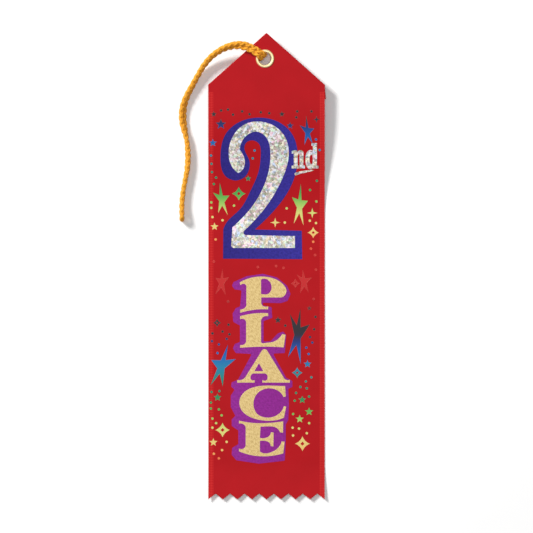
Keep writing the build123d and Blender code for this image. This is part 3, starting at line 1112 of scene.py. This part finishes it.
    def fold(self, side: int, level: int, satin: bpy.types.Material) -> bpy.types.Object:
        """Rounded fold along a sloping edge, from the front down to a folded corner.

        Args:
            side: -1 left or 1 right.
            level: layers below the front that it reaches.
            satin: the satin.

        Returns:
            The piece.
        """
        lift, tuck = self.profile().lift, self.fold_tuck
        high, low = lift + self.thickness, lift - level * self.layer_pitch
        middle, reach = (high + low) / 2, (high - low) / 2
        start = np.array([side * self.half, self.shoulder])
        tip = np.array([0.0, self.top])
        out = np.array([side * self.point_rise, self.half])
        out = out / np.linalg.norm(out)
        points = []
        for share in np.linspace(0, 1, self.fold_rows):
            base = start + (tip - start) * share
            for angle in np.linspace(math.pi / 2, -math.pi / 2, self.fold_arc):
                flat = base + out * (self.fold_bulge * math.cos(angle) - tuck)
                points.append((*flat, middle + (reach - tuck) * math.sin(angle)))
            inner = base - out * self.fold_inset
            points += [(*inner, low + tuck * 3), (*inner, high - tuck * 3)]
        ring = self.fold_arc + 2
        faces = Sculptor.grid_faces(self.fold_rows, ring, wrap=True)
        faces.append(list(range(ring)))
        faces.append([(self.fold_rows - 1) * ring + index for index in reversed(range(ring))])
        name = "satin_left_fold" if side < 0 else "satin_right_fold"
        return dress(Sculptor.mesh(name, points, faces), satin, Body.RIBBON)

    def loose_threads(self, satin: bpy.types.Material) -> bpy.types.Object:
        """Short yarn ends that stick out of the pinked cut.

        Args:
            satin: the satin.

        Returns:
            The piece.
        """
        pick = random.Random(self.thread_seed)
        profile = self.profile()
        bundle = Bundle()
        cut_width = self.width - 2 * self.thread_margin
        sideways, outwards = self.thread_bend
        for index in range(self.threads):
            across = -self.half + self.thread_margin + cut_width * (index + pick.random()) / self.threads
            along = float(self.cut(np.array(across)))
            reach = pick.uniform(*self.thread_reach)
            lean = pick.uniform(-self.thread_lean, self.thread_lean)
            height = pick.uniform(*self.thread_height) + float(profile.height(np.array(along)))
            line = [
                (across, along + self.thread_root, height),
                (across + lean * sideways, along - reach * outwards, height),
                (across + lean, along - reach, max(self.thread_lowest, height - self.thread_droop)),
            ]
            bundle.add(np.array(line), self.thread_radii, self.thread_sides)
        return dress(bundle.mesh("pinked_threads", mapped=False), satin, Body.RIBBON)

    def build(self) -> list[bpy.types.Object]:
        """Returns:
            The pieces.
        """
        satin = self.finish.build()
        front = self.front(satin)
        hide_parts("satin_ribbon")
        corners = ((-1, 1), (1, 2))
        extras = [make(side, level, satin) for make in (self.flap, self.fold) for side, level in corners]
        extras.append(self.loose_threads(satin))
        return [front, *extras]


@dataclass
class Eyelet:
    """Rolled brass eyelet with a crowned front and a split, curled back."""

    bore: float = 2.75
    barrel: float = 3.03
    crown_middle: float = 3.37
    crown_reach: float = 0.63
    crown_rise: float = 0.46
    curl_middle: float = 3.3
    curl_reach: float = 0.55
    curl_drop: float = 0.34
    gap: float = 0.02
    lip: float = 0.2
    front_rise: float = 0.5
    back_drop: float = 0.4
    crown_corners: int = 17
    curl_corners: int = 13
    segments: int = 160
    splits: int = 8
    split_start: float = 0.03
    split_depth: float = 0.55
    split_sharpness: int = 12
    finish: BrassFinish = BrassFinish()

    @staticmethod
    def half_circle(corners: int) -> list[tuple[float, float]]:
        """Corners of the upper half of a circle."""
        return [(math.cos(angle), math.sin(angle)) for angle in np.linspace(0, math.pi, corners)]

    def section(self, front: float, back: float) -> list[tuple[float, float]]:
        """Outline of the ring's section as radius and height.

        Args:
            front: height of the cloth's face.
            back: height of the cloth's back.

        Returns:
            The section's corners.
        """
        crown = [
            (self.crown_middle + self.crown_reach * x, front + self.gap + self.crown_rise * y)
            for x, y in self.half_circle(self.crown_corners)
        ]
        inner = [(self.bore, front - self.lip), (self.bore, back + self.lip)]
        curl = [
            (self.curl_middle - self.curl_reach * x, back - self.gap - self.curl_drop * y)
            for x, y in self.half_circle(self.curl_corners)
        ]
        return crown + inner + curl + [(self.barrel, back), (self.barrel, front)]

    def build(self) -> list[bpy.types.Object]:
        """Build the eyelet.

        Returns:
            The pieces.
        """
        low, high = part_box("eyelet")
        front = high.z / MM - self.front_rise
        back = low.z / MM + self.back_drop
        section = self.section(front, back)
        ring = len(section)
        points, faces = [], []
        for index in range(self.segments):
            angle = TURN * index / self.segments
            notch = self.split_depth * max(0.0, math.cos(angle * self.splits)) ** self.split_sharpness
            for radius, height in section:
                if height < back - self.split_start:
                    radius = radius - max(0.0, radius - self.barrel) * notch
                x, y = radius * math.cos(angle), radius * math.sin(angle)
                points.append((EYELET_MIDDLE[0] + x, EYELET_MIDDLE[1] + y, height))
            faces += Sculptor.band(index * ring, (index + 1) % self.segments * ring, ring)
        piece = Sculptor.mesh("eyelet_ring", points, faces)
        dress(piece, self.finish.build(), Body.RIBBON)
        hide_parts("eyelet")
        return [piece]


# --- the cord


@dataclass
class HangingCord:
    """The doubled cord, its stopper knot and its two short ends."""

    diameter: float = 1.8
    loft: float = 2.2
    plies: int = 4
    lay_length: float = 5.6
    ply_share: float = 0.5
    weave_share: float = 0.025
    tight_weave_share: float = 0.12
    tight_mm: float = 24.0
    stray_fibres: int = 760
    core_share: float = 0.7
    # Map value of the core: the middle of the cord's painted crevice shade.
    core_painted_shade_side: float = 0.5
    floor_clearance: float = 0.53
    samples_per_mm: float = 6.0
    fewest_samples: int = 8
    curve_resolution: int = 24
    tube_sides: int = 10
    tight_start: float = 1.4
    swell_rate: float = 2.1
    ply_shift: float = 7.3
    splayed_mm: float = 1.6
    swell_share: float = 0.06
    fibre_seed: int = 5
    fibre_sides: int = 4
    fibre_root: float = 0.4
    fibre_reach: tuple[float, float] = (0.15, 0.5)
    fibre_sweep: float = 0.9
    fibre_bend: tuple[float, float] = (0.5, 0.4)
    fibre_tip: float = 0.8
    fibre_lowest: float = 0.03
    fibre_radii: tuple[float, ...] = (0.022, 0.018, 0.01)
    fibre_margin: int = 20
    route: tuple[Point, ...] = (
        (-2.28, 90.72, 3.8), (-2.28, 90.72, 7.5), (-5.3, 93.35, 7.5), (-9.6, 95.4, 7.4),
        (-14.4, 95.9, 6.9), (-19.3, 94.5, 5.4), (-23.9, 91.4, 3.8), (-27.2, 87.6, 2.4),
        (-29.9, 83.2, 1.4), (-32.5, 78.2, 0.9), (-35.2, 72.6, 0.9), (-36.1, 67.2, 0.9),
        (-35.8, 61.6, 0.9), (-34.8, 55.8, 0.9), (-34.5, 49.5, 0.9), (-34.6, 43.4, 0.9),
        (-35.6, 37.4, 0.9), (-36.7, 31.6, 0.9), (-37.1, 26.6, 0.9), (-37.0, 23.4, 0.9),
        (-36.9, 20.5, 1.0), (-36.9, 20.5, 4.4), (-36.9, 23.4, 4.2), (-36.9, 27.2, 3.0),
        (-36.5, 32.0, 2.72), (-35.5, 37.6, 2.74), (-34.2, 43.5, 2.72), (-34.0, 49.6, 2.72),
        (-34.9, 56.0, 2.74), (-37.0, 61.8, 2.34), (-37.4, 67.6, 2.3), (-35.9, 73.2, 2.6),
        (-32.8, 78.7, 2.74), (-30.1, 83.5, 3.2), (-27.5, 88.0, 4.2), (-24.2, 91.9, 5.6),
        (-19.5, 95.2, 7.15), (-14.5, 97.1, 8.35), (-9.3, 97.2, 8.2), (-4.3, 94.7, 7.5),
        (-0.84, 92.2, 7.5), (-0.84, 92.2, 3.8),
    )
    knot_middle: tuple[float, float] = (-3.39, 92.94)
    knot_height: float = 3.8
    knot_thickness: float = 1.55
    knot_gap: float = 0.25
    knot_samples: int = 160
    knot_strands: tuple[tuple[float, float], ...] = ((0.86, 0.0), (0.56, 0.5))
    knot_swing: float = 0.95
    tail_flare: float = 0.5
    tails: tuple[tuple[Point, ...], ...] = (
        (
            (-5.4, 92.0, 1.4), (-7.4, 91.1, 0.95), (-9.4, 89.5, 0.95),
            (-11.4, 87.0, 0.95), (-12.2, 84.0, 0.95),
        ),
        (
            (-4.4, 91.2, 1.4), (-5.4, 89.5, 0.95), (-6.8, 87.6, 0.95),
            (-7.6, 84.6, 0.95), (-7.0, 81.8, 0.95),
        ),
    )
    finish: CordFinish = CordFinish()

    def spline_line(self, points: Sequence[Point], name: str) -> np.ndarray:
        """Smooth line of a route, read from a NURBS curve.

        Args:
            points: the route's points in millimetres.
            name: name of the throwaway curve.

        Returns:
            Evenly spaced points in millimetres.
        """
        curve = bpy.data.curves.new(name, "CURVE")
        curve.dimensions = "3D"
        curve.resolution_u = self.curve_resolution
        spline = curve.splines.new("NURBS")
        spline.points.add(len(points) - 1)
        for control, (x, y, z) in zip(spline.points, points):
            control.co = (x * MM, y * MM, z * MM, 1.0)
        spline.order_u = 3
        spline.use_endpoint_u = True
        holder = show(name, curve)
        bpy.context.view_layer.update()
        mesh = bpy.data.meshes.new_from_object(holder)
        rough = np.array([vertex.co for vertex in mesh.vertices], float) / MM
        bpy.data.objects.remove(holder)
        bpy.data.curves.remove(curve)
        bpy.data.meshes.remove(mesh)
        return self.even(rough)

    def even(self, rough: np.ndarray) -> np.ndarray:
        """Space a line's points evenly, and keep the braid clear of the table.

        Args:
            rough: the line's points.

        Returns:
            The even points.
        """
        walked = Sculptor.walked(rough)
        count = max(self.fewest_samples, int(walked[-1] * self.samples_per_mm))
        wanted = np.linspace(0, walked[-1], count)
        line = np.stack([np.interp(wanted, walked, rough[:, axis]) for axis in range(3)], axis=1)
        line[:, 2] = np.maximum(line[:, 2], self.loft * self.floor_clearance)
        return line

    def rope(
        self, name: str, lines: Sequence[np.ndarray], thickness: float, flare: float
    ) -> bpy.types.Object:
        """Soft braid along lines, its plies turning both ways and passing over and under.

        Args:
            name: the object's name.
            lines: centre lines in millimetres.
            thickness: the rope's diameter.
            flare: how far the plies spread at the last end.

        Returns:
            The rope.
        """
        bundle = Bundle()
        radius = thickness / 2
        ply_radius = radius * self.ply_share
        orbit = radius * (1 - self.ply_share - self.weave_share)
        for line in lines:
            _, first, second = Sculptor.frames(line)
            walked = Sculptor.walked(line)
            core = [radius * self.core_share] * len(line)
            # The core's map value puts the whole core in the cord's painted crevice shade.
            bundle.add(line, core, self.tube_sides, around=self.core_painted_shade_side)
            near_end = np.clip(1 - (walked[-1] - walked) / self.splayed_mm, 0, 1)
            worked = np.clip(self.tight_start - np.minimum(walked, walked[-1] - walked) / self.tight_mm, 0, 1)
            over = radius * (self.weave_share + (self.tight_weave_share - self.weave_share) * worked)
            for ply in range(self.plies):
                turn = 1 if ply % 2 == 0 else -1
                phase = TURN * (ply / self.plies + turn * walked / self.lay_length)
                spread = (orbit + turn * over * np.sin(2 * phase)) * (1 + flare * near_end)
                outward = np.cos(phase)[:, None] * first + np.sin(phase)[:, None] * second
                swell = ply_radius * (1 + self.swell_share * np.sin(walked * self.swell_rate + ply))
                path = line + spread[:, None] * outward
                bundle.add(path, swell, self.tube_sides, outward, shift=self.ply_shift * ply)
        return bundle.mesh(name)

    def knot_lines(self) -> list[np.ndarray]:
        """Two strands of an overhand knot pulled tight.

        Returns:
            Their centre lines.
        """
        middle = np.array([*self.knot_middle, self.knot_height / 2])
        turn = np.linspace(self.knot_gap, TURN - self.knot_gap, self.knot_samples)
        lines = []
        for size, lean in self.knot_strands:
            angle = turn + lean
            x = (np.sin(angle) + 2 * np.sin(2 * angle)) * size
            y = (np.cos(angle) - 2 * np.cos(2 * angle)) * size
            z = -np.sin(3 * angle) * self.knot_swing
            lines.append(np.stack([x, y, z], axis=1) + middle)
        return lines

    def fuzz(self, line: np.ndarray) -> bpy.types.Object:
        """Stray fibres that stand off the cord.

        Args:
            line: the cord's centre line.

        Returns:
            The piece.
        """
        pick = random.Random(self.fibre_seed)
        _, first, second = Sculptor.frames(line)
        bundle = Bundle()
        outwards, onwards = self.fibre_bend
        for _ in range(self.stray_fibres):
            index = pick.randrange(self.fibre_margin, len(line) - self.fibre_margin)
            angle = pick.uniform(0, TURN)
            out = math.cos(angle) * first[index] + math.sin(angle) * second[index]
            along = line[index + 1] - line[index]
            along = along / np.linalg.norm(along)
            base = line[index] + out * self.diameter * self.fibre_root
            out = out * pick.uniform(*self.fibre_reach)
            along = along * pick.uniform(-self.fibre_sweep, self.fibre_sweep)
            middle = base + out * outwards + along * onwards
            strand = np.array([base, middle, base + out * self.fibre_tip + along])
            strand[:, 2] = np.maximum(strand[:, 2], self.fibre_lowest)
            bundle.add(strand, self.fibre_radii, self.fibre_sides)
        return bundle.mesh("cord_fuzz")

    def build(self) -> list[bpy.types.Object]:
        """Returns:
            The pieces.
        """
        line = self.spline_line(self.route, "cord_route")
        cord = self.rope("cord_loop_rope", [line], self.loft, 0.0)
        knot = self.rope("overhand_knot", self.knot_lines(), self.knot_thickness, 0.0)
        ends = [self.spline_line(tail, "tail_route") for tail in self.tails]
        tails = self.rope("cord_ends", ends, self.diameter, self.tail_flare)
        fuzz = self.fuzz(line)
        material = self.finish.build()
        for piece in (cord, knot, tails, fuzz):
            dress(piece, material, Body.CORD)
        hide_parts("cord_loop")
        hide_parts("stopper_knot")
        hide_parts("cord_tails")
        LOG.info("cord length %.4f m", Sculptor.walked(line)[-1] * MM)
        return [cord, knot, tails, fuzz]


# --- artwork


def slot_nodes(slot: Slot) -> list[bpy.types.Object]:
    """Nodes of the frame that have a material slot."""
    parts = frame["record"]["subparts"]
    return [frame["nodes"][part["node"]] for part in parts if part["material_slot"] == slot.value]


@dataclass
class Artwork:
    """Ink and foil on the ribbon's face, each piece a node of the frame."""

    blue: InkFinish = InkFinish("blue_ink", tone(42, 33, 118), tone(62, 54, 166), tone(26, 20, 88))
    purple: InkFinish = InkFinish(
        "purple_ink", tone(152, 44, 154), tone(140, 36, 138), tone(108, 26, 108), (-16.0, 12.0)
    )
    silver: SparkleFoilFinish = SparkleFoilFinish()
    gold: GoldFoilFinish = GoldFoilFinish()
    rainbow: RainbowFoilFinish = RainbowFoilFinish()
    adhesive: AdhesiveFinish = AdhesiveFinish()

    def build(self) -> list[bpy.types.Object]:
        """Give each node of the artwork its finish.

        Returns:
            The dressed nodes.
        """
        finishes = {
            Slot.BLUE_INK: self.blue,
            Slot.PURPLE_INK: self.purple,
            Slot.SILVER: self.silver,
            Slot.GOLD: self.gold,
            Slot.RAINBOW: self.rainbow,
            Slot.ADHESIVE: self.adhesive,
        }
        dressed = []
        for slot, finish in finishes.items():
            material = finish.build()
            for piece in slot_nodes(slot):
                piece.data.materials.clear()
                piece.data.materials.append(material)
                dressed.append(piece)
        return dressed


@dataclass
class FoilRims:
    """Thin raised rims that hot stamping leaves along the edges of the foil."""

    name: str
    slot: Slot
    breadth: float = 0.12
    rise: float = 0.02
    sink: float = 0.01
    crest_share: float = 0.4
    weld: float = 0.002
    facing_up: float = 0.8
    sharpest: float = 0.5

    def outline(self, node: bpy.types.Object) -> tuple[list[tuple[int, int]], np.ndarray, np.ndarray]:
        """Edges of a node's upper faces.

        Args:
            node: a foil node of the frame.

        Returns:
            The edges, their points in millimetres and, for each point, its way inwards.
        """
        shape = bmesh.new()
        shape.from_mesh(node.data)
        bmesh.ops.remove_doubles(shape, verts=shape.verts, dist=self.weld * MM)
        points = np.array([vertex.co for vertex in shape.verts], float) / MM
        inward = np.zeros_like(points)
        edges = []
        for edge in shape.edges:
            upper = [face for face in edge.link_faces if face.normal.z > self.facing_up]
            if len(upper) != 1 or len(edge.link_faces) != 2:
                continue
            loop = next(loop for loop in edge.link_loops if loop.face == upper[0])
            start, stop = loop.vert, loop.link_loop_next.vert
            way = (stop.co - start.co).normalized()
            inside = upper[0].normal.cross(way)
            for vertex in (start, stop):
                inward[vertex.index] += np.array(inside)
            edges.append((start.index, stop.index))
        shape.free()
        return edges, points, inward

    def build(self, finish: Union[GoldFoilFinish, RainbowFoilFinish]) -> list[bpy.types.Object]:
        """Build the rims of every node of the slot.

        Args:
            finish: the rims' finish.

        Returns:
            The piece.
        """
        points: list[np.ndarray] = []
        faces: list[Face] = []
        up = np.array([0.0, 0.0, 1.0])
        for node in slot_nodes(self.slot):
            edges, places, inward = self.outline(node)
            number: dict[int, int] = {}
            for vertex in dict.fromkeys(index for edge in edges for index in edge):
                size = max(float(np.linalg.norm(inward[vertex])), 1e-6)
                step = inward[vertex] / size * (self.breadth / max(size / 2, self.sharpest))
                number[vertex] = len(points)
                sunk = places[vertex] - up * self.sink
                points += [sunk, places[vertex] + step * self.crest_share + up * self.rise, sunk + step]
            for start, stop in edges:
                faces += Sculptor.band(number[start], number[stop], 3)
        piece = Sculptor.mesh(self.name, points, faces, smooth=False)
        return [dress(piece, finish.build(), Body.RIBBON)]


# --- studio


@dataclass(frozen=True)
class Lamp:
    """Soft square lamp that points at the middle of the table, sizes in metres and watts."""

    name: str
    place: Point
    size: float
    power: float
    colour: Colour

    def hang(self) -> None:
        """Add the lamp to the scene."""
        data = bpy.data.lights.new(self.name, "AREA")
        data.shape = "SQUARE"
        data.size = self.size
        data.energy = self.power
        data.color = self.colour
        lamp = show(self.name, data)
        lamp.location = self.place
        lamp.rotation_euler = (-Vector(self.place)).to_track_quat("-Z", "Y").to_euler()
        lamp.visible_camera = False


@dataclass
class Studio:
    """Camera straight above the ribbon, pale floor and soft light from the upper left."""

    frame_width: float = 232.8
    lens: float = 400.0
    sensor: float = 36.0
    far_clip: float = 20.0
    floor_size: float = 3.0
    floor_gap: float = 0.05
    surround: float = 0.26
    lamps: tuple[Lamp, ...] = (
        Lamp("key", (-1.25, 1.1, 1.25), 0.5, 46.0, (1.0, 0.99, 0.97)),
        Lamp("top", (0.05, 0.15, 2.0), 0.5, 10.5, (0.98, 0.99, 1.0)),
    )

    def camera(self) -> None:
        """Place the camera and make it the scene's own."""
        data = bpy.data.cameras.new("camera")
        data.lens = self.lens
        data.sensor_width = self.sensor
        data.clip_end = self.far_clip
        camera = show("camera", data)
        camera.location.z = self.frame_width * MM * self.lens / self.sensor
        bpy.context.scene.camera = camera

    def floor(self) -> None:
        """Lay the floor just under the ribbon."""
        half = self.floor_size / 2 / MM
        points = [(-half, -half, 0), (half, -half, 0), (half, half, 0), (-half, half, 0)]
        floor = Sculptor.mesh("studio_floor", points, [(0, 1, 2, 3)], smooth=False)
        floor.location.z = -self.floor_gap * MM
        floor.data.materials.append(FloorFinish().build())

    def light(self) -> None:
        """Set the lamps, the surroundings and the way that light is shown."""
        for lamp in self.lamps:
            lamp.hang()
        world = bpy.data.worlds.new("studio")
        bpy.context.scene.world = world
        world.use_nodes = True
        background = world.node_tree.nodes["Background"]
        background.inputs["Color"].default_value = (1.0, 1.0, 1.0, 1.0)
        background.inputs["Strength"].default_value = self.surround
        bpy.context.scene.view_settings.view_transform = "Standard"


def report(title: str, pieces: Iterable[bpy.types.Object]) -> None:
    """Log each piece of a sub-assembly."""
    for piece in pieces:
        LOG.info("%s: %s", title, piece.name)


def main() -> None:
    """Build the camera, the cord and then everything else, and note the sizes."""
    logging.basicConfig(level=logging.INFO, format="%(message)s")
    studio = Studio()
    studio.camera()
    report("cord", HangingCord().build())
    report("ribbon", SatinStrip().build())
    report("eyelet", Eyelet().build())
    report("artwork", Artwork().build())
    report("foil edges", FoilRims("rainbow_foil_rims", Slot.RAINBOW).build(RAINBOW_RIM_PAINTED_GLARE))
    report("foil edges", FoilRims("gold_foil_rims", Slot.GOLD).build(GOLD_RIM_PAINTED_HIGHLIGHT))
    studio.floor()
    studio.light()


if __name__ == "__main__":
    main()
